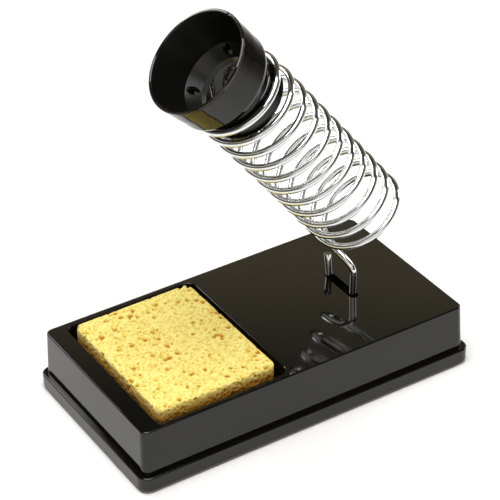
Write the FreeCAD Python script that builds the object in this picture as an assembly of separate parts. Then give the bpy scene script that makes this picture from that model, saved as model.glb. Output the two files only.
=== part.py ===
import FreeCAD, Part
import os
from math import cos, degrees, pi, radians, sin, tan
from FreeCAD import Placement, Rotation, Vector

os.makedirs("parts", exist_ok=True)

# ---------------------------------------------------------------------------
# Soldering iron stand: a weighted moulded base with a sponge tray, and a wire
# coil that leans over the tray and carries a funnel for the iron.
# Millimetres. X runs along the base, from the sponge (-X) to the coil (+X).
# Y runs to the back, Z is up. The origin is on the floor under the centre.
# ---------------------------------------------------------------------------

# Base housing
BASE_L, BASE_W = 165.0, 90.6      # over the flange
FOOT_H = 1.5                      # rubber feet lift the flange by this much
LEDGE_Z = FOOT_H + 6.15           # top of the flange
TOP_Z = FOOT_H + 27.3             # top face
TOP_L, TOP_W = 159.1, 84.6        # top face, before its edge is rounded
DRAFT = 0.0338                    # the walls lean in by this much per mm of height
WALL = 2.5
CORNER_R = 3.2
FLANGE_R = 5.0
TOP_EDGE_R = 0.7
RECESS_EDGE_R = 0.6
FLANGE_EDGE_R = 0.7
PLATE_Z, PLATE_T = 3.0, 1.5       # underside and thickness of the steel bottom plate
RIM_T = 2.4                       # flange left outside the plate's rebate

# Sponge tray
TRAY_X = (-70.9, -8.4)
TRAY_HALF_W = 39.3
TRAY_DEPTH = 12.0
TRAY_WALL = 2.0
TRAY_R = 4.0
SPONGE_X = (-69.3, -12.9)
SPONGE_Y = (-37.0, 33.7)
SPONGE_T = 16.0
SPONGE_R = 3.0

# Wire: one bent piece, 3 mm bright steel
WIRE_R = 1.5
HAIRPIN_X = 45.0
SLOT_W, SLOT_L = 4.2, 22.4
SOCKET_FLOOR_Z = 9.0
STUB_TOP = (10.95, TOP_Z + 10.6)  # (y, z) of the cut end
STUB_FOOT_Y = 6.9                 # where the stub meets the bottom of the hairpin
LEG_FOOT_Y = -7.3
LEG_TOP = (-9.0, TOP_Z + 10.2)    # (y, z) where the leg ends and the bend starts
JOINT_GAP = 0.35                  # left between the leg and the bend above it

# Coil: a left-hand helix on an axis in the XZ plane
COIL_ELEVATION = 52.45            # degrees above the floor
COIL_POINT = Vector(55.58, 0, 61.5)
COIL_R = 19.5                     # to the middle of the wire
COIL_PITCH = 9.66
COIL_RISE_AT_ZERO = 90.56         # distance along the axis where the turn count is 0
COIL_PHASE = -94.6                # degrees, angle of the wire there
COIL_FIRST, COIL_LAST = -9.42, 1.72   # turn count at the bottom and top end

# Funnel: it sits a few degrees flatter than the coil below it
FUNNEL_ELEVATION = 47.3
RIM_CENTRE = Vector(-24.9, 0, 161.8)
MOUTH_R = 23.1
SEAT_FROM_RIM = 30.0              # where the funnel's axis crosses the coil's
WEB_R = 12.8                      # the hole the iron goes down
NECK_R = 17.8
FUNNEL_L = 35.0
WEB_HOLE_R, WEB_HOLE_PCR = 1.9, 15.0
NICK_TURN = 3.5                   # degrees round the rim to a small nick in it


def direction(elevation):
    """Unit vector that rises at this angle and leans towards the sponge."""
    e = radians(elevation)
    return Vector(-cos(e), 0, sin(e))


COIL_AXIS = direction(COIL_ELEVATION)
FUNNEL_AXIS = direction(FUNNEL_ELEVATION)


def rounded(half_x, half_y, r, z, cx=0.0, cy=0.0):
    """Closed wire: a rectangle with round corners at height z."""
    x0, x1 = cx - half_x, cx + half_x
    y0, y1 = cy - half_y, cy + half_y
    k = r * (1 - cos(pi / 4))
    corners = [
        ((x1 - r, y0), (x1 - k, y0 + k), (x1, y0 + r)),
        ((x1, y1 - r), (x1 - k, y1 - k), (x1 - r, y1)),
        ((x0 + r, y1), (x0 + k, y1 - k), (x0, y1 - r)),
        ((x0, y0 + r), (x0 + k, y0 + k), (x0 + r, y0)),
    ]
    edges = []
    for i, (start, middle, end) in enumerate(corners):
        a, b, c = (Vector(p[0], p[1], z) for p in (start, middle, end))
        edges.append(Part.Arc(a, b, c).toShape())
        follow = corners[(i + 1) % 4][0]
        edges.append(Part.makeLine(c, Vector(follow[0], follow[1], z)))
    return Part.Wire(edges)


def prism(half_x, half_y, r, z0, z1, cx=0.0, cy=0.0):
    """Upright block with round corners."""
    face = Part.Face(rounded(half_x, half_y, r, z0, cx, cy))
    return face.extrude(Vector(0, 0, z1 - z0))


def tapered(half_x, half_y, r, z0, z1, z_ref):
    """Upright block whose walls lean in; the half sizes hold at height z_ref."""
    wires = []
    for z in (z0, z1):
        grow = (z_ref - z) * DRAFT
        wires.append(rounded(half_x + grow, half_y + grow, r, z))
    return Part.makeLoft(wires, True, True)


def cylinder(x, y, z0, z1, r):
    return Part.makeCylinder(r, z1 - z0, Vector(x, y, z0))


def turned(profile):
    """Solid of revolution about Z from a list of (radius, height) points."""
    points = [Vector(r, 0, z) for r, z in profile]
    face = Part.Face(Part.makePolygon(points + points[:1]))
    return face.revolve(Vector(0, 0, 0), Vector(0, 0, 1), 360)


def edges_where(shape, test):
    return [e for e in shape.Edges if test(e.BoundBox, e)]


def flat_at(z):
    """Test for the edges that lie at one height."""
    return lambda b, e: abs(b.ZMin - z) < 0.01 and abs(b.ZMax - z) < 0.01


def inside_top_edge(b, e):
    """Test for the edges of an opening in the top face."""
    in_x = b.XMin > -TOP_L / 2 + 4 and b.XMax < TOP_L / 2 - 4
    in_y = b.YMin > -TOP_W / 2 + 2 and b.YMax < TOP_W / 2 - 2
    return in_x and in_y and flat_at(TOP_Z)(b, e)


# ---------------------------------------------------------------------------
# Where the fastenings stand
# ---------------------------------------------------------------------------
COVER_SCREWS = [(-62.0, -30.0), (-62.0, 30.0), (62.0, -33.0), (62.0, 33.0)]
RUBBER_FEET = [(-72.0, -35.0), (-72.0, 35.0), (72.0, -35.0), (72.0, 35.0)]
SOCKET_SCREWS = [(HAIRPIN_X, -20.5), (HAIRPIN_X, 20.5)]
BALLAST_SCREWS = [(-33.0, -20.0), (-33.0, 20.0)]
BALLAST_X, BALLAST_HALF_W, BALLAST_T = (-54.0, -12.0), 36.0, 8.0
BOSS_R, PILOT_R, SCREW_R, SCREW_CLEAR_R = 3.4, 1.45, 1.5, 1.7
EAR_Z0, EAR_T = 11.0, 3.0

roof_z = TOP_Z - WALL
plate_top = PLATE_Z + PLATE_T
tray_floor_z = TOP_Z - TRAY_DEPTH
tray_cx = (TRAY_X[0] + TRAY_X[1]) / 2
tray_half_l = (TRAY_X[1] - TRAY_X[0]) / 2


def base_housing():
    """Moulded shell: drafted walls on a flange, tray, slot and screw bosses."""
    wall_block = tapered(TOP_L / 2, TOP_W / 2, CORNER_R, LEDGE_Z, TOP_Z, TOP_Z)
    wall_block = wall_block.makeFillet(TOP_EDGE_R, edges_where(wall_block, flat_at(TOP_Z)))
    flange = prism(BASE_L / 2, BASE_W / 2, FLANGE_R, FOOT_H, LEDGE_Z)
    flange = flange.makeFillet(FLANGE_EDGE_R, edges_where(flange, flat_at(LEDGE_Z)))
    body = wall_block.fuse(flange)

    cavity = tapered(TOP_L / 2 - WALL, TOP_W / 2 - WALL, 1.5, plate_top - 0.01, roof_z, TOP_Z)
    rebate = prism(BASE_L / 2 - RIM_T, BASE_W / 2 - RIM_T, 3.0, FOOT_H, plate_top)
    body = body.cut(cavity).cut(rebate)

    # the tray's tub hangs from the roof
    tub = prism(tray_half_l + TRAY_WALL, TRAY_HALF_W + TRAY_WALL, TRAY_R + TRAY_WALL,
                tray_floor_z - TRAY_WALL, roof_z + 0.5, tray_cx)
    recess = prism(tray_half_l, TRAY_HALF_W, TRAY_R, tray_floor_z, TOP_Z + 5, tray_cx)
    recess = recess.makeFillet(1.5, edges_where(recess, flat_at(tray_floor_z)))
    body = body.fuse(tub).cut(recess)
    body = body.makeFillet(RECESS_EDGE_R, edges_where(body, inside_top_edge))

    # bosses for the four cover screws and the two socket screws
    for x, y in COVER_SCREWS:
        top = tray_floor_z - 1.0 if x < 0 else roof_z + 0.5
        body = body.fuse(cylinder(x, y, plate_top, top, BOSS_R))
    for x, y in SOCKET_SCREWS:
        body = body.fuse(cylinder(x, y, EAR_Z0 + EAR_T, roof_z + 0.5, BOSS_R))
    for x, y in COVER_SCREWS:
        body = body.cut(cylinder(x, y, plate_top - 1, plate_top + 8.5, PILOT_R))
    for x, y in SOCKET_SCREWS:
        body = body.cut(cylinder(x, y, EAR_Z0 + EAR_T - 1, EAR_Z0 + EAR_T + 8, PILOT_R))

    slot = prism(SLOT_W / 2, SLOT_L / 2, SLOT_W / 2 - 0.001, roof_z - 1, TOP_Z + 1, HAIRPIN_X)
    return body.cut(slot)


def bottom_plate():
    """Steel sheet that closes the underside and adds weight."""
    fit = 0.15
    half_x, half_y = BASE_L / 2 - RIM_T - fit, BASE_W / 2 - RIM_T - fit
    plate = prism(half_x, half_y, 2.8, PLATE_Z, plate_top)
    for x, y in COVER_SCREWS + BALLAST_SCREWS:
        plate = plate.cut(cylinder(x, y, PLATE_Z - 1, plate_top + 1, SCREW_CLEAR_R))
    return plate


def ballast_block():
    """Cast block screwed to the plate under the tray."""
    cx = (BALLAST_X[0] + BALLAST_X[1]) / 2
    half_l = (BALLAST_X[1] - BALLAST_X[0]) / 2
    block = prism(half_l, BALLAST_HALF_W, 2.0, plate_top, plate_top + BALLAST_T, cx)
    block = block.makeChamfer(0.8, edges_where(block, flat_at(plate_top + BALLAST_T)))
    for x, y in BALLAST_SCREWS:
        block = block.cut(cylinder(x, y, plate_top - 1, plate_top + 6.5, PILOT_R))
    return block


def wire_socket():
    """Moulded pocket under the slot, open at the top, with two screw ears."""
    height = roof_z - SOCKET_FLOOR_Z
    block = prism(SLOT_W / 2 + 2.4, SLOT_L / 2 + 2.4, 3.0, SOCKET_FLOOR_Z - 2.5, roof_z - 0.05, HAIRPIN_X)
    for _, y in SOCKET_SCREWS:
        block = block.fuse(prism(4.2, 6.2, 2.0, EAR_Z0, EAR_Z0 + EAR_T - 0.02, HAIRPIN_X, y * 0.94))
    pocket = prism(SLOT_W / 2, SLOT_L / 2, SLOT_W / 2 - 0.001, SOCKET_FLOOR_Z,
                   SOCKET_FLOOR_Z + height + 1, HAIRPIN_X)
    block = block.cut(pocket)
    for x, y in SOCKET_SCREWS:
        block = block.cut(cylinder(x, y, EAR_Z0 - 1, EAR_Z0 + EAR_T + 1, SCREW_CLEAR_R))
    return block.removeSplitter()


def screw(x, y, seat_z, length):
    """Pan-head self-tapping screw pointing up, its head under seat_z."""
    head_r, head_h, recess_r = 2.8, 1.7, 0.45
    profile = [
        (0, -head_h), (head_r * 0.6, -head_h), (head_r * 0.93, -head_h * 0.7), (head_r, -head_h * 0.25),
        (head_r, 0), (SCREW_R, 0), (SCREW_R, length - 1.2), (0.4, length), (0, length),
    ]
    body = turned(profile)
    for turn in (0, 90):
        arm = Part.makeBox(2 * 1.7, 2 * recess_r, 0.9, Vector(-1.7, -recess_r, -head_h))
        arm.rotate(Vector(0, 0, 0), Vector(0, 0, 1), turn)
        body = body.cut(arm)
    body.translate(Vector(x, y, seat_z))
    return body


def rubber_foot(x, y):
    """Stick-on bumper, a low cone frustum with a rounded lower edge."""
    top_r, low_r = 6.0, 5.2
    foot = turned([(0, 0), (low_r, 0), (top_r, PLATE_Z), (0, PLATE_Z)])
    foot = foot.makeFillet(0.5, edges_where(foot, lambda b, e: flat_at(0.0)(b, e) and e.Length > 10))
    foot.translate(Vector(x, y, 0))
    return foot


def sponge():
    """Cellulose block, a little smaller than the tray, standing proud of it."""
    half_x = (SPONGE_X[1] - SPONGE_X[0]) / 2
    half_y = (SPONGE_Y[1] - SPONGE_Y[0]) / 2
    cx = (SPONGE_X[0] + SPONGE_X[1]) / 2
    cy = (SPONGE_Y[0] + SPONGE_Y[1]) / 2
    z0 = tray_floor_z + 0.05
    block = prism(half_x, half_y, SPONGE_R, z0, z0 + SPONGE_T, cx, cy)
    return block.makeFillet(1.2, edges_where(block, lambda b, e: b.ZMax - b.ZMin < 0.01))


def swept(points, closed_by_lines=False):
    """Round wire along a smooth curve through the points (or along lines)."""
    if closed_by_lines:
        path = Part.Wire([Part.makeLine(a, b) for a, b in zip(points, points[1:])])
    else:
        curve = Part.BSplineCurve()
        curve.interpolate(points)
        path = Part.Wire(curve.toShape())
    start = (points[1] - points[0]).normalize()
    if not closed_by_lines:
        start = curve.tangent(curve.FirstParameter)[0]
    ring = Part.Wire(Part.Circle(points[0], start, WIRE_R).toShape())
    return path.makePipeShell([ring], True, True)


def wire_foot():
    """Hairpin: the stub, the U in the socket, and the leg up to the bend."""
    bend_r = 3.6
    low = SOCKET_FLOOR_Z + 0.1 + WIRE_R
    stub_top = Vector(HAIRPIN_X, STUB_TOP[0], STUB_TOP[1])
    stub_low = Vector(HAIRPIN_X, STUB_FOOT_Y, low)
    leg_low = Vector(HAIRPIN_X, LEG_FOOT_Y, low)
    leg_top = Vector(HAIRPIN_X, LEG_TOP[0], LEG_TOP[1])
    edges = []
    start = stub_top
    for corner, after in ((stub_low, leg_low), (leg_low, leg_top)):
        into = (corner - start).normalize()
        out = (after - corner).normalize()
        turn = into.getAngle(out)
        back = bend_r * tan(turn / 2)
        p, q = corner - into * back, corner + out * back
        centre_way = (out - into).normalize()
        middle = corner + centre_way * (bend_r / cos(turn / 2) - bend_r)
        edges.append(Part.makeLine(start, p))
        edges.append(Part.Arc(p, middle, q).toShape())
        start = q
    edges.append(Part.makeLine(start, leg_top))
    path = Part.Wire(edges)
    first = (stub_low - stub_top).normalize()
    ring = Part.Wire(Part.Circle(stub_top, first, WIRE_R).toShape())
    return path.makePipeShell([ring], True, True)


def axis_frame(distance):
    """Point and direction of the coil's centre line; it tips over at the neck."""
    seat = RIM_CENTRE - FUNNEL_AXIS * SEAT_FROM_RIM
    seat_at = (seat - COIL_POINT).dot(COIL_AXIS)
    half = 9.0
    lean = radians(COIL_ELEVATION - FUNNEL_ELEVATION)
    part = min(max((distance - seat_at + half) / (2 * half), 0.0), 1.0)
    angle = COIL_ELEVATION - degrees(lean) * part
    way = direction(angle)
    if distance < seat_at - half:
        point = COIL_POINT + COIL_AXIS * distance
    elif distance > seat_at + half:
        point = seat + FUNNEL_AXIS * (distance - seat_at)
    else:
        # circular arc that touches both straight lines
        entry = COIL_POINT + COIL_AXIS * (seat_at - half)
        radius = 2 * half / lean
        side = Vector(-COIL_AXIS.z, 0, COIL_AXIS.x)
        swing = lean * part
        point = entry + COIL_AXIS * (radius * sin(swing)) + side * (radius * (1 - cos(swing)))
    return point, way


def coil_point(turns):
    """Middle of the wire at this turn count; the helix is left-handed."""
    point, way = axis_frame(COIL_RISE_AT_ZERO + COIL_PITCH * turns)
    angle = radians(COIL_PHASE) - 2 * pi * turns
    across = Vector(0, 1, 0)
    down = way.cross(across)
    return point + across * (COIL_R * cos(angle)) + down * (COIL_R * sin(angle))


def wire_coil():
    """The bend above the leg, the strand that rises to the coil, and the coil."""
    leg_top = Vector(HAIRPIN_X, LEG_TOP[0], LEG_TOP[1])
    leg_low = Vector(HAIRPIN_X, LEG_FOOT_Y, SOCKET_FLOOR_Z + WIRE_R)
    up = (leg_top - leg_low).normalize()
    start = leg_top + up * JOINT_GAP
    lead = [
        start,
        start + up * 1.2,
        Vector(44.62, -8.55, TOP_Z + 14.1),
        Vector(44.05, -6.9, TOP_Z + 15.95),
        Vector(43.15, -4.4, TOP_Z + 17.75),
        Vector(42.15, -1.7, TOP_Z + 19.25),
    ]
    steps = 16
    count = int(round((COIL_LAST - COIL_FIRST) * steps))
    span = COIL_LAST - COIL_FIRST
    helix = [coil_point(COIL_FIRST + span * i / count) for i in range(count + 1)]
    return swept(lead + helix)


def funnel():
    """Tapered collar with a chamfered shoulder, a neck in the coil's last
    turns, and a sloping web inside with the iron's hole and four vents."""
    r = MOUTH_R
    profile = [
        (r - 0.35, 0.0), (r, 0.3), (r, 1.0), (r - 0.25, 1.5), (r - 0.5, 8.5),
        (r - 0.78, 8.75), (r - 1.1, 16.5), (r - 1.6, 18.0), (r - 2.8, 19.4), (r - 4.2, 20.1),
        (NECK_R, 20.3), (NECK_R, FUNNEL_L - 0.6), (NECK_R - 0.6, FUNNEL_L),
        (NECK_R - 1.7, FUNNEL_L), (NECK_R - 1.7, 25.4), (NECK_R - 2.6, 24.4), (WEB_R, 24.4),
        (WEB_R, 21.2), (17.2, 16.0), (r - 1.2, 0.35), (r - 0.85, 0.0),
    ]
    body = turned([(radius, -down) for radius, down in profile])
    for turn in (41, 131, 221, 311):
        a = radians(turn)
        vent = cylinder(WEB_HOLE_PCR * cos(a), WEB_HOLE_PCR * sin(a), -27, -10, WEB_HOLE_R)
        body = body.cut(vent)
    # a small nick through the rim
    nick = Part.makeBox(1.6, 1.2, 0.7, Vector(r - 1.4, -0.6, -0.6))
    nick.rotate(Vector(0, 0, 0), Vector(0, 0, 1), NICK_TURN)
    body = body.cut(nick)
    lean = Rotation(Vector(0, 0, 1), FUNNEL_AXIS)
    body.Placement = Placement(RIM_CENTRE, lean)
    return body


PARTS = {
    "base_housing": base_housing,
    "bottom_plate": bottom_plate,
    "ballast_block": ballast_block,
    "wire_socket": wire_socket,
    "sponge": sponge,
    "wire_foot": wire_foot,
    "wire_coil": wire_coil,
    "funnel": funnel,
}
for i, (x, y) in enumerate(COVER_SCREWS):
    PARTS[f"cover_screw_{i + 1}"] = lambda x=x, y=y: screw(x, y, PLATE_Z, 9.5)
for i, (x, y) in enumerate(SOCKET_SCREWS):
    PARTS[f"socket_screw_{i + 1}"] = lambda x=x, y=y: screw(x, y, EAR_Z0, 9.5)
for i, (x, y) in enumerate(BALLAST_SCREWS):
    PARTS[f"ballast_screw_{i + 1}"] = lambda x=x, y=y: screw(x, y, PLATE_Z, 7.5)
for i, (x, y) in enumerate(RUBBER_FEET):
    PARTS[f"rubber_foot_{i + 1}"] = lambda x=x, y=y: rubber_foot(x, y)

for name, make in PARTS.items():
    shape = make()
    box = shape.BoundBox
    print(f"{name}: valid {shape.isValid()}, solids {len(shape.Solids)}, "
          f"volume {shape.Volume:.0f} mm3, z {box.ZMin:.2f} to {box.ZMax:.2f}")
    shape.exportStep(f"parts/{name}.step")
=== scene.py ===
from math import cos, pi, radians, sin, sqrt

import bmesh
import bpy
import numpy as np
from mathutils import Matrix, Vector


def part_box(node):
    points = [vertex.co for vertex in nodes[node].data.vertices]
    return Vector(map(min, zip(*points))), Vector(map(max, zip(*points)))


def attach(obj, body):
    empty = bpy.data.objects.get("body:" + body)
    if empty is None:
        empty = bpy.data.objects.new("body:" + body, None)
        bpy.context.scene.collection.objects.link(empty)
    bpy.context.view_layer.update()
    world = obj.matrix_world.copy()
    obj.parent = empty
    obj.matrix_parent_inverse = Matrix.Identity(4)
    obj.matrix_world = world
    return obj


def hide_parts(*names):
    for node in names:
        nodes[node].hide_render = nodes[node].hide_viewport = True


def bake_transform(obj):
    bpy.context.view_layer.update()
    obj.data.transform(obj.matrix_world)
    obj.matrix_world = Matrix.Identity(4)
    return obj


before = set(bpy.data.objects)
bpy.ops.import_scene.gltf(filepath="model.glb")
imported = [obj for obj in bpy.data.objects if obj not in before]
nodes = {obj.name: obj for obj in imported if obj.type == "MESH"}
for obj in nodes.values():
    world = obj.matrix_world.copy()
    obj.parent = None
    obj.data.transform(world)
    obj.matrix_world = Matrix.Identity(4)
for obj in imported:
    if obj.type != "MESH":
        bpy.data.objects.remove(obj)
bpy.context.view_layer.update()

# %% [markdown]
# # Soldering iron stand
# A weighted black base with a damp sponge in a tray, and a bright wire that is one piece
# from its cut stub, down through the slot, up the leg and round the leaning coil. A
# turned-down black funnel sits in the coil's last turns. The hard parts come from the CAD
# frame. This lesson gives them their finishes and models what CAD can't: the sponge's
# pores and the continuous wire.

MM = 0.001

# %% [markdown]
# ## Colour and node helpers
# Colours are written as the sRGB hex codes a colour picker shows. Blender's shaders work
# in linear light, so one function converts them. Another adds a shader node, sets its
# sockets and links its inputs, which keeps each material short enough to read.

# %% Colour helper
def linear(code):
    """Linear RGBA of an sRGB hex code such as "#f2e39a"."""
    channels = [int(code[i:i + 2], 16) / 255 for i in (1, 3, 5)]
    return [c / 12.92 if c <= 0.04045 else ((c + 0.055) / 1.055) ** 2.4 for c in channels] + [1.0]


# %% Node helper
def add(tree, kind, settings=None, **inputs):
    """Adds a node; an input is a value or the output socket of another node."""
    node = tree.nodes.new(kind)
    for name, value in (settings or {}).items():
        setattr(node, name, value)
    for name, value in inputs.items():
        socket = node.inputs[int(name[1:])] if name[0] == "_" else node.inputs[name.replace("_", " ")]
        if isinstance(value, bpy.types.NodeSocket):
            tree.links.new(value, socket)
        else:
            socket.default_value = value
    return node


# %% New material with a Principled shader
def new_material(name, **sockets):
    """A material named for its finish, and its tree and shader."""
    material = bpy.data.materials.new(name)
    material.use_nodes = True
    tree = material.node_tree
    tree.nodes.clear()
    shader = add(tree, "ShaderNodeBsdfPrincipled", **sockets)
    add(tree, "ShaderNodeOutputMaterial", Surface=shader.outputs[0])
    return material, tree, shader


# %% Colour ramp helper
def ramp(tree, factor, *stops):
    """Colour ramp from (position, colour) stops."""
    node = add(tree, "ShaderNodeValToRGB", Fac=factor)
    elements = node.color_ramp.elements
    while len(elements) < len(stops):
        elements.new(0.5)
    for element, (position, colour) in zip(elements, stops):
        element.position = position
        element.color = colour
    return node.outputs[0]


# %% [markdown]
# ## High gloss ABS
# The base is injection-moulded ABS from a polished steel mould. The eye sees almost no
# colour of its own, only a clear reflection of the room, because polished black plastic
# sends back four percent of the light face on and more at a slant. What makes it real is
# what disturbs that mirror: a long, shallow waviness where the walls sank as they
# cooled, and faint smears that only show in the roughness.

# %% High gloss black ABS
def gloss_plastic(name, colour, wave_mm, wave_height_mm, clean, smeared):
    """Polished black moulding: clear reflection, slow waves and faint smears."""
    material, tree, shader = new_material(name, Base_Color=linear(colour), IOR=1.47)
    place = add(tree, "ShaderNodeTexCoord").outputs["Object"]
    smear = add(tree, "ShaderNodeTexNoise", Vector=place, Scale=1 / (22 * MM), Detail=4.0)
    rough = add(tree, "ShaderNodeMapRange", Value=smear.outputs["Fac"], _1=0.42, _2=0.72, _3=clean, _4=smeared)
    wave = add(tree, "ShaderNodeTexNoise", Vector=place, Scale=1 / (wave_mm * MM), Detail=0.0)
    bump = add(tree, "ShaderNodeBump", Height=wave.outputs["Fac"], Distance=wave_height_mm * MM, Strength=1.0)
    tree.links.new(rough.outputs[0], shader.inputs["Roughness"])
    tree.links.new(bump.outputs[0], shader.inputs["Normal"])
    return material


housing_finish = gloss_plastic("high gloss black ABS", "#0b0b09", 34, 0.006, 0.035, 0.09)
funnel_finish = gloss_plastic("high gloss black phenolic", "#090908", 20, 0.004, 0.03, 0.07)
print("gloss plastics:", housing_finish.name, "and", funnel_finish.name)

# %% [markdown]
# ## The hidden plastics, metals and rubber
# Under the base there is a zinc-plated steel plate with screws, a cast ballast block, a
# plain moulded socket for the wire and four rubber feet. Zinc plating is bright but
# cloudy: its crystals show as slow patches in the reflection. A casting keeps the
# grain of its sand. Rubber is matt and slightly dusty.

# %% Zinc-plated steel
def zinc_plate(name, patch_mm):
    """Zinc-plated sheet: metallic with cloudy patches of roughness."""
    material, tree, shader = new_material(name, Base_Color=linear("#c3c6c9"), Metallic=1.0)
    place = add(tree, "ShaderNodeTexCoord").outputs["Object"]
    crystal = add(tree, "ShaderNodeTexVoronoi", Vector=place, Scale=1 / (patch_mm * MM), Randomness=1.0)
    cloud = add(tree, "ShaderNodeTexNoise", Vector=place, Scale=1 / (3 * patch_mm * MM), Detail=3.0)
    both = add(tree, "ShaderNodeMath", {"operation": "MULTIPLY"}, _0=crystal.outputs["Distance"],
               _1=cloud.outputs["Fac"])
    rough = add(tree, "ShaderNodeMapRange", Value=both.outputs[0], _1=0.0, _2=0.4, _3=0.28, _4=0.46)
    tint = ramp(tree, cloud.outputs["Fac"], (0.35, linear("#b2b6ba")), (0.65, linear("#cfd1d2")))
    tree.links.new(rough.outputs[0], shader.inputs["Roughness"])
    tree.links.new(tint, shader.inputs["Base Color"])
    return material


plate_finish = zinc_plate("zinc-plated steel sheet", 2.2)
screw_finish = zinc_plate("zinc-plated screw steel", 0.8)


# %% Grainy finishes: casting, mould texture and rubber
def grainy(name, colour, lighter, grain_mm, height_mm, roughness, metallic=0.0):
    """Matt finish with a fine grain in colour and height."""
    material, tree, shader = new_material(name, Roughness=roughness, Metallic=metallic)
    place = add(tree, "ShaderNodeTexCoord").outputs["Object"]
    grain = add(tree, "ShaderNodeTexNoise", Vector=place, Scale=1 / (grain_mm * MM), Detail=5.0)
    tint = ramp(tree, grain.outputs["Fac"], (0.3, linear(colour)), (0.75, linear(lighter)))
    bump = add(tree, "ShaderNodeBump", Height=grain.outputs["Fac"], Distance=height_mm * MM, Strength=0.7)
    tree.links.new(tint, shader.inputs["Base Color"])
    tree.links.new(bump.outputs[0], shader.inputs["Normal"])
    return material


ballast_finish = grainy("grey cast iron", "#2f3032", "#4d4e50", 1.1, 0.25, 0.62, 0.6)
socket_finish = grainy("matt black ABS", "#161616", "#232323", 0.6, 0.03, 0.5)
rubber_finish = grainy("black rubber", "#1a1a1a", "#2e2d2c", 0.7, 0.04, 0.82)
print("hidden finishes:", [m.name for m in (plate_finish, screw_finish, ballast_finish, socket_finish)])

# %% Give each CAD node its finish
finishes = {
    "base_housing": housing_finish,
    "funnel": funnel_finish,
    "bottom_plate": plate_finish,
    "ballast_block": ballast_finish,
    "wire_socket": socket_finish,
}
for name, node in nodes.items():
    finish = finishes.get(name)
    if "screw" in name:
        finish = screw_finish
    if "foot" in name and "rubber" in name:
        finish = rubber_finish
    if finish:
        node.data.materials.clear()
        node.data.materials.append(finish)
        print(f"{name}: {finish.name}")

# %% [markdown]
# ## The wire
# The wire is one length, 3 mm thick, so it is made here as one curve and not as the two
# pieces that the motion model needs. A NURBS curve is used, since a forming machine also
# bends wire in smooth arcs. Its round bevel is the wire's thickness. Such a curve runs
# just inside its points: with forty-eight a turn the coil is 0.06 mm under its true radius.

# %% Where the coil runs
TOP_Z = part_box("base_housing")[1].z
WIRE_R = 1.5 * MM
COIL_R = 19.5 * MM
COIL_PITCH = 9.66 * MM
COIL_FOOT = Vector((55.58, 0, 61.5)) * MM
COIL_TILT = radians(52.45)
FUNNEL_TILT = radians(47.3)
RIM_CENTRE = Vector((-24.9, 0, 161.8)) * MM
COIL_ZERO = 90.56 * MM
COIL_PHASE = radians(-94.6)
COIL_TURNS = (-9.42, 1.72)


def lean(tilt):
    """Direction that leans back over the tray at this angle above the floor."""
    return Vector((-cos(tilt), 0, sin(tilt)))


# %% [markdown]
# ## The funnel's satin inside
# The outside of the funnel is as glossy as the base, but its inside is duller and has
# fine rings, like a surface turned on a lathe. One material does both. It measures each
# point's depth below the rim and its radius from the funnel's axis. On the inner cone the
# radius plus 0.3 of the depth is 22 mm, and on the rim and the outside it is more.

# %% Satin rings inside the funnel
INNER_TAPER = 0.3
INNER_CONE_R = 22.05 * MM
RING_WIDTH, RING_HEIGHT = 0.9 * MM, 0.03 * MM


def turned_inside(material, centre, axis):
    """Makes the inner cone of a glossy funnel satin, with fine rings round its axis."""
    tree = material.node_tree
    shader = tree.nodes["Principled BSDF"]
    gloss = shader.inputs["Roughness"].links[0].from_socket
    smooth = shader.inputs["Normal"].links[0].from_socket
    place = add(tree, "ShaderNodeTexCoord").outputs["Object"]
    arm = add(tree, "ShaderNodeVectorMath", {"operation": "SUBTRACT"}, _0=place, _1=centre).outputs[0]
    depth = add(tree, "ShaderNodeVectorMath", {"operation": "DOT_PRODUCT"}, _0=arm, _1=-axis).outputs["Value"]
    off = add(tree, "ShaderNodeVectorMath", {"operation": "CROSS_PRODUCT"}, _0=arm, _1=axis).outputs[0]
    radius = add(tree, "ShaderNodeVectorMath", {"operation": "LENGTH"}, _0=off).outputs["Value"]
    cone = add(tree, "ShaderNodeMath", {"operation": "MULTIPLY_ADD"}, _0=depth, _1=INNER_TAPER, _2=radius)
    inside = add(tree, "ShaderNodeMath", {"operation": "LESS_THAN"}, _0=cone.outputs[0], _1=INNER_CONE_R)
    inside = inside.outputs[0]
    rings = add(tree, "ShaderNodeTexNoise", {"noise_dimensions": "1D"}, W=depth, Scale=1 / RING_WIDTH,
                Detail=2.0)
    relief = add(tree, "ShaderNodeMath", {"operation": "MULTIPLY"}, _0=rings.outputs["Fac"], _1=inside)
    satin = add(tree, "ShaderNodeMix", {"data_type": "FLOAT"}, _0=inside, _2=gloss, _3=0.3)
    bump = add(tree, "ShaderNodeBump", Height=relief.outputs[0], Distance=RING_HEIGHT, Normal=smooth)
    tree.links.new(satin.outputs[0], shader.inputs["Roughness"])
    tree.links.new(bump.outputs[0], shader.inputs["Normal"])


turned_inside(funnel_finish, RIM_CENTRE, lean(FUNNEL_TILT))
print("funnel: satin rings on its inner cone")

# %% The coil's bent centre line
def centre_line(distance):
    """Point and direction of the coil's axis, which droops where the funnel hangs."""
    axis, funnel_axis = lean(COIL_TILT), lean(FUNNEL_TILT)
    seat = RIM_CENTRE - funnel_axis * 30 * MM
    seat_at = (seat - COIL_FOOT).dot(axis)
    half = 9 * MM
    bend = COIL_TILT - FUNNEL_TILT
    share = min(max((distance - seat_at + half) / (2 * half), 0), 1)
    radius = 2 * half / bend
    side = Vector((-axis.z, 0, axis.x))
    if distance < seat_at - half:
        point = COIL_FOOT + axis * distance
    elif distance > seat_at + half:
        point = seat + funnel_axis * (distance - seat_at)
    else:
        swing = bend * share
        entry = COIL_FOOT + axis * (seat_at - half)
        point = entry + axis * (radius * sin(swing)) + side * (radius * (1 - cos(swing)))
    return point, lean(COIL_TILT - bend * share)


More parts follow.
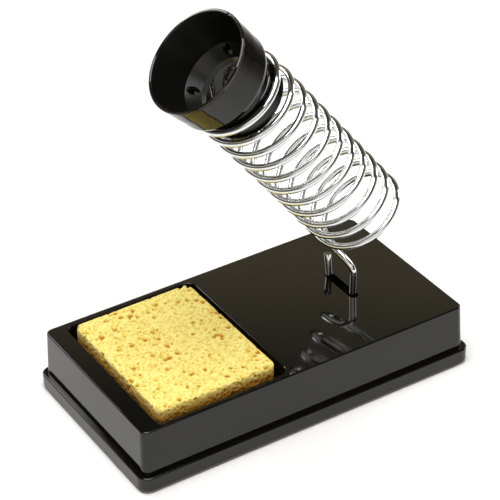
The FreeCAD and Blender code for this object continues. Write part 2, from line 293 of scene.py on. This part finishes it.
# %% One point of the coil
def coil_point(turns):
    """Middle of the wire at this turn count, wound left-handed."""
    point, way = centre_line(COIL_ZERO + COIL_PITCH * turns)
    angle = COIL_PHASE - 2 * pi * turns
    across = Vector((0, 1, 0))
    return point + across * (COIL_R * cos(angle)) + way.cross(across) * (COIL_R * sin(angle))


# %% The hairpin, the bend above the leg and the coil as one list of points
hairpin = [
    (45, 10.95, 39.4), (45, 10.0, 32.0), (45, 9.0, 24.2), (45, 8.0, 17.0), (45, 7.3, 12.8), (45, 5.9, 11.0),
    (45, 3.6, 10.65), (45, 0, 10.62), (45, -3.9, 10.65), (45, -6.4, 11.2), (45, -7.4, 13.2), (45, -7.7, 18),
    (45, -8.1, 24.5), (45, -8.6, 32), (45, -9.0, 38.9), (44.98, -9.03, 40.6),
    (44.7, -8.7, 42.6), (44.1, -7.2, 44.5), (43.3, -4.6, 46.4), (42.2, -1.8, 48.0),
]
points = [Vector(p) * MM for p in hairpin]
steps = 48
first, last = COIL_TURNS
count = round((last - first) * steps)
points += [coil_point(first + (last - first) * i / count) for i in range(count + 1)]
print(f"wire: {len(points)} points, {count / steps:.2f} turns")


# %% Wire as a curve with a round bevel
def make_wire(name, points):
    """Mesh of a round wire along a NURBS curve through the points' cage."""
    curve = bpy.data.curves.new(name, "CURVE")
    curve.dimensions = "3D"
    curve.bevel_depth = WIRE_R
    curve.bevel_resolution = 8
    curve.resolution_u = 3
    curve.use_fill_caps = True
    spline = curve.splines.new("NURBS")
    spline.points.add(len(points) - 1)
    for knot, point in zip(spline.points, points):
        knot.co = (*point, 1)
    spline.order_u = 4
    spline.use_endpoint_u = True
    cage = bpy.data.objects.new(name + "_cage", curve)
    bpy.context.scene.collection.objects.link(cage)
    bpy.context.view_layer.update()
    mesh = bpy.data.meshes.new_from_object(cage.evaluated_get(bpy.context.evaluated_depsgraph_get()))
    bpy.data.objects.remove(cage)
    wire = bpy.data.objects.new(name, mesh)
    bpy.context.scene.collection.objects.link(wire)
    return wire


wire = make_wire("spring_wire", points)

# %% [markdown]
# ## Its cut end
# The stub that stands in the slot ends in a flat cut, a little wider than the wire, as a
# blade leaves it. The cap made by the curve is welded on, its rim is pushed out by 8%,
# and then a narrow bevel catches the light.

# %% Weld the caps and crop the stub's end
shape = bmesh.new()
shape.from_mesh(wire.data)
bmesh.ops.remove_doubles(shape, verts=shape.verts, dist=0.002 * MM)
for face in shape.faces:
    face.smooth = len(face.verts) == 4
cap = [f for f in shape.faces if len(f.verts) == 3 and (f.calc_center_median() - points[0]).length < 2 * WIRE_R]
end_face = bmesh.ops.dissolve_faces(shape, faces=cap)["region"][0]
for v in end_face.verts:
    v.co = points[0] + (v.co - points[0]) * 1.08
bmesh.ops.bevel(shape, geom=list(end_face.edges), offset=0.14 * MM, offset_type="OFFSET", affect="EDGES",
                segments=2, profile=0.5, material=-1, clamp_overlap=True)
bmesh.ops.recalc_face_normals(shape, faces=shape.faces)
print(f"cropped end made of {len(cap)} cap faces")
shape.to_mesh(wire.data)
shape.free()
print(f"wire mesh: {len(wire.data.vertices)} vertices, {len(wire.data.polygons)} faces")

# %% [markdown]
# ## Bright chrome
# Chrome plate over steel is a neutral, slightly blue mirror. Handling and winding leave
# it duller in places, so its roughness wanders a little.

# %% Chrome-plated spring steel
chrome, tree, shader = new_material("chrome-plated spring steel", Base_Color=linear("#e9eaec"), Metallic=1.0)
place = add(tree, "ShaderNodeTexCoord").outputs["Object"]
marks = add(tree, "ShaderNodeTexNoise", Vector=place, Scale=1 / (3.5 * MM), Detail=3.0)
rough = add(tree, "ShaderNodeMapRange", Value=marks.outputs["Fac"], _1=0.4, _2=0.75, _3=0.06, _4=0.16)
tree.links.new(rough.outputs[0], shader.inputs["Roughness"])
wire.data.materials.append(chrome)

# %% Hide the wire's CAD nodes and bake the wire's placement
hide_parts("wire_foot", "wire_coil")
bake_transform(wire)

# %% [markdown]
# ## The sponge
# Cellulose sponge is cast round salt crystals that later dissolve, then sawn into blocks,
# so its faces are flat cuts through a mass of round cavities. It is modelled the same
# way: a block finely divided into squares, and a cloud of seeded round pores. Where a
# pore reaches through a face, the face's points drop to the pore's far wall. A pore
# attribute remembers how deep each point went, so that the colour can follow.

# %% Block with rounded corners
SPONGE_STEP = 0.4 * MM
low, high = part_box("sponge")
size, middle = high - low, (low + high) / 2


def divided_block():
    """Box the size of the sponge, cut into small squares by three passes."""
    block = bmesh.new()
    bmesh.ops.create_cube(block, size=1.0)
    bmesh.ops.scale(block, vec=size, verts=block.verts)
    bmesh.ops.translate(block, vec=middle, verts=block.verts)
    for axis in range(3):
        def runs_along(edge):
            span = edge.verts[0].co - edge.verts[1].co
            return abs(span[axis]) > 0.9 * span.length
        edges = [e for e in block.edges if runs_along(e)]
        cuts = round(size[axis] / SPONGE_STEP) - 1
        bmesh.ops.subdivide_edges(block, edges=edges, cuts=cuts, use_grid_fill=False)
    return block


block = divided_block()
print(f"sponge block: {len(block.verts)} vertices, {len(block.faces)} squares")

# %% Round its upright corners and its edges
place_of = np.array([v.co for v in block.verts]) - np.array(middle)
half = np.array(size) / 2
CORNER, EDGE = 3.0 * MM, 1.0 * MM


def square_to_round(a, b):
    """Moves points of a corner square (0 to r on both axes) onto a quarter disc."""
    far = np.hypot(a, b)
    share = np.where(far > 0, np.maximum(a, b) / np.maximum(far, 1e-12), 1)
    return a * share, b * share


def round_corners(place_of):
    inner = half[:2] - CORNER
    over = np.abs(place_of[:, :2]) - inner
    in_corner = (over > 0).all(axis=1)
    a, b = square_to_round(over[in_corner, 0], over[in_corner, 1])
    side = np.sign(place_of[in_corner, :2])
    place_of[in_corner, :2] = side * (inner + np.stack([a, b], 1))
    return place_of


place_of = round_corners(place_of)


# %% Distance inside the outline, and the way out of it
def outline(place_of):
    """Signed distance to the rounded outline (negative inside) and the outward way."""
    over = np.abs(place_of[:, :2]) - (half[:2] - CORNER)
    reach = np.maximum(over, 0)
    length = np.hypot(reach[:, 0], reach[:, 1])
    inside = np.minimum(over.max(axis=1), 0)
    distance = length + inside - CORNER
    way = np.where(length[:, None] > 1e-9, reach / np.maximum(length[:, None], 1e-9),
                   np.stack([over[:, 0] >= over[:, 1], over[:, 0] < over[:, 1]], 1))
    return distance, way * np.sign(place_of[:, :2])


distance, way = outline(place_of)
up = np.abs(place_of[:, 2]) - (half[2] - EDGE)
near = (distance > -EDGE) & (up > 0)
a, b = square_to_round(distance[near] + EDGE, up[near])
place_of[near, :2] += way[near] * (a - distance[near] - EDGE)[:, None]
place_of[near, 2] = np.sign(place_of[near, 2]) * (half[2] - EDGE + b)
for v, p in zip(block.verts, place_of):
    v.co = Vector(p) + middle
block.normal_update()
print("corners rounded to", CORNER / MM, "mm, edges to", EDGE / MM, "mm")

# %% [markdown]
# ## Pores
# Two sets are mixed: many fine pores about a millimetre across, and fewer large ones, up
# to nearly three. Each is a ball, and no point drops more than 1.2 mm, so that a large
# pore ends in a flat floor and the block stays whole at its edges.

# %% Seeded cloud of pores
rng = np.random.default_rng(41)


def pores(count, small_mm, large_mm, power):
    """Centres near the block's skin and radii, more of them small than large."""
    centres = (rng.random((count, 3)) * 2 - 1) * (half + 0.3 * MM)
    radii = (small_mm + (large_mm - small_mm) * rng.random(count) ** power) * MM
    skin = (np.abs(np.abs(centres) - half) < radii[:, None] * 0.9).any(axis=1)
    return centres[skin], radii[skin]


sets = [pores(38000, 0.35, 0.65, 1.3), pores(3800, 0.6, 1.4, 2.8)]
centres = np.concatenate([s[0] for s in sets])
radii = np.concatenate([s[1] for s in sets])
print(f"pores that reach the skin: {len(radii)}")

# %% Drop the skin to each pore's far wall
from mathutils.kdtree import KDTree

tree_of_points = KDTree(len(place_of))
for i, p in enumerate(place_of):
    tree_of_points.insert(p, i)
tree_of_points.balance()
normals = np.array([v.normal for v in block.verts])
depth = np.zeros(len(place_of))
for centre, radius in zip(centres, radii):
    for _, i, _ in tree_of_points.find_range(centre, radius):
        from_centre = place_of[i] - centre
        along = from_centre @ normals[i]
        off = from_centre @ from_centre - along * along
        wall = along + sqrt(max(radius * radius - off, 0))
        depth[i] = max(depth[i], wall)
depth = np.minimum(depth, 1.2 * MM)
bottom = normals[:, 2] < -0.5
depth[bottom] *= 0.3
place_of -= normals * depth[:, None]
for v, p in zip(block.verts, place_of):
    v.co = Vector(p) + middle
print(f"deepest pore {depth.max() / MM:.2f} mm, mean {depth.mean() / MM:.2f} mm")

# %% Sponge object with its pore attribute
mesh = bpy.data.meshes.new("sponge_block")
block.to_mesh(mesh)
block.free()
mesh.shade_smooth()
# Painted shade: a share that grows over 5 mm below the top, where the sides sink into the tray.
drop = np.clip((half[2] - 0.6 * MM - place_of[:, 2]) / (5 * MM), 0, 1)
for name, values in (("pore", depth / MM), ("painted_low_shade", drop)):
    mesh.attributes.new(name, "FLOAT", "POINT").data.foreach_set("value", values.astype(np.float32))
sponge = bpy.data.objects.new("sponge_block", mesh)
bpy.context.scene.collection.objects.link(sponge)
print(f"sponge: {len(mesh.polygons) * 2} triangles")

# %% [markdown]
# ## Yellow cellulose
# Damp cellulose is a pale cream yellow where it is cut. The colour goes from cream on the skin to amber at the
# bottom of the pores, which is painted shade in the hollows, and turns a deeper gold lower down the sides,
# which is painted shade where they sink into the tray. A little subsurface light softens the rims.

# %% Cellulose sponge
cellulose, tree, shader = new_material("yellow cellulose sponge", Roughness=0.85, Subsurface_Weight=0.2,
                                       Subsurface_Scale=1.2 * MM)
shader.inputs["Subsurface Radius"].default_value = (1.0, 0.7, 0.25)
place = add(tree, "ShaderNodeTexCoord").outputs["Object"]
pore = add(tree, "ShaderNodeAttribute", {"attribute_name": "pore"})
painted_low_shade = add(tree, "ShaderNodeAttribute", {"attribute_name": "painted_low_shade"})
# Painted shade: the colour darkens from cream to amber with each point's pore depth.
skin = ramp(tree, pore.outputs["Fac"], (0.0, linear("#f6e68a")), (0.35, linear("#ecd568")),
            (0.75, linear("#dab344")), (1.0, linear("#c48a26")))
blotch = add(tree, "ShaderNodeTexNoise", Vector=place, Scale=1 / (1.3 * MM), Detail=5.0, Roughness=0.7)
tone = ramp(tree, blotch.outputs["Fac"], (0.34, linear("#e6cf7e")), (0.52, linear("#ffffff")))
mottled = add(tree, "ShaderNodeMix", {"data_type": "RGBA", "blend_type": "MULTIPLY"}, _0=0.75, _6=skin, _7=tone)
# Painted shade: the sides are darkened to gold towards the bottom.
low_shade_mix = add(tree, "ShaderNodeMix", {"data_type": "RGBA", "blend_type": "MULTIPLY"}, _0=painted_low_shade.outputs["Fac"],
          _6=mottled.outputs[2], _7=linear("#d9a349"))
fibre = add(tree, "ShaderNodeTexVoronoi", Vector=place, Scale=1 / (0.7 * MM), Randomness=1.0)
bump = add(tree, "ShaderNodeBump", Height=fibre.outputs["Distance"], Distance=0.3 * MM, Strength=0.8)
tree.links.new(low_shade_mix.outputs[2], shader.inputs["Base Color"])
tree.links.new(bump.outputs[0], shader.inputs["Normal"])
sponge.data.materials.append(cellulose)
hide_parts("sponge")
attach(sponge, "sponge")

# %% [markdown]
# ## Floor, light and camera
# A plain white floor runs well beyond the view. Four soft panels light it: a large one
# overhead, a low wide one in front, and two narrow ones, behind on the left and on the
# right, that draw bright bands on the upright legs. The room itself is dim but for one
# pale band about thirty-three degrees up, because that is what the glossy top mirrors.

# %% Floor
floor_shape = bmesh.new()
bmesh.ops.create_grid(floor_shape, x_segments=1, y_segments=1, size=3.0)
floor_mesh = bpy.data.meshes.new("floor")
floor_shape.to_mesh(floor_mesh)
floor_shape.free()
floor = bpy.data.objects.new("floor", floor_mesh)
bpy.context.scene.collection.objects.link(floor)
paper, tree, shader = new_material("white paper sweep", Base_Color=linear("#f6f6f5"), Roughness=0.9)
floor.data.materials.append(paper)


# %% Soft panels
def panel(name, place, target, width, height, power, colour="#ffffff"):
    """Rectangular area light at a place in metres, facing the target."""
    light = bpy.data.lights.new(name, "AREA")
    light.shape = "RECTANGLE"
    light.size, light.size_y = width, height
    light.energy = power
    light.color = linear(colour)[:3]
    holder = bpy.data.objects.new(name, light)
    aim = (Vector(target) - Vector(place)).to_track_quat("-Z", "Y")
    holder.matrix_world = Matrix.Translation(place) @ aim.to_matrix().to_4x4()
    bpy.context.scene.collection.objects.link(holder)
    return holder


centre = (0, 0, 0.06)
panel("overhead panel", (-0.1, -0.1, 1.2), centre, 0.8, 0.8, 15.0)
panel("back left panel", (-0.25, 0.66, 0.42), centre, 0.2, 0.36, 2.0)
panel("right panel", (0.72, 0.02, 0.36), centre, 0.18, 0.36, 1.3)
panel("front panel", (-0.7, -1.3, 0.75), centre, 2.0, 1.0, 5.0)

# %% Dim room with one pale band
world = bpy.data.worlds.new("studio")
bpy.context.scene.world = world
world.use_nodes = True
tree = world.node_tree
tree.nodes.clear()
way_seen = add(tree, "ShaderNodeTexCoord").outputs["Generated"]
height = add(tree, "ShaderNodeSeparateXYZ", Vector=way_seen).outputs["Z"]
glow = ramp(tree, height, (0.0, linear("#4e4b43")), (0.42, linear("#5c584d")), (0.52, linear("#beb294")),
            (0.565, linear("#beb294")), (0.615, linear("#3a3830")), (1.0, linear("#4a4a48")))
sky = add(tree, "ShaderNodeBackground", Color=glow, Strength=1.0)
add(tree, "ShaderNodeOutputWorld", Surface=sky.outputs[0])

# %% Camera
CAMERA_AT = Vector((-380.75, -614.63, 548.16)) * MM
TURN, RISE, ROLL = radians(-31.665), radians(33.798), radians(-1.272)
camera = bpy.data.cameras.new("camera")
camera.sensor_width = 36
camera.lens = 149.43
camera.clip_end = 20
eye = bpy.data.objects.new("camera", camera)
eye.matrix_world = (Matrix.Translation(CAMERA_AT) @ Matrix.Rotation(TURN, 4, "Z")
                    @ Matrix.Rotation(pi / 2 - RISE, 4, "X") @ Matrix.Rotation(ROLL, 4, "Z"))
bpy.context.scene.collection.objects.link(eye)
bpy.context.scene.camera = eye
bpy.context.scene.view_settings.view_transform = "Standard"
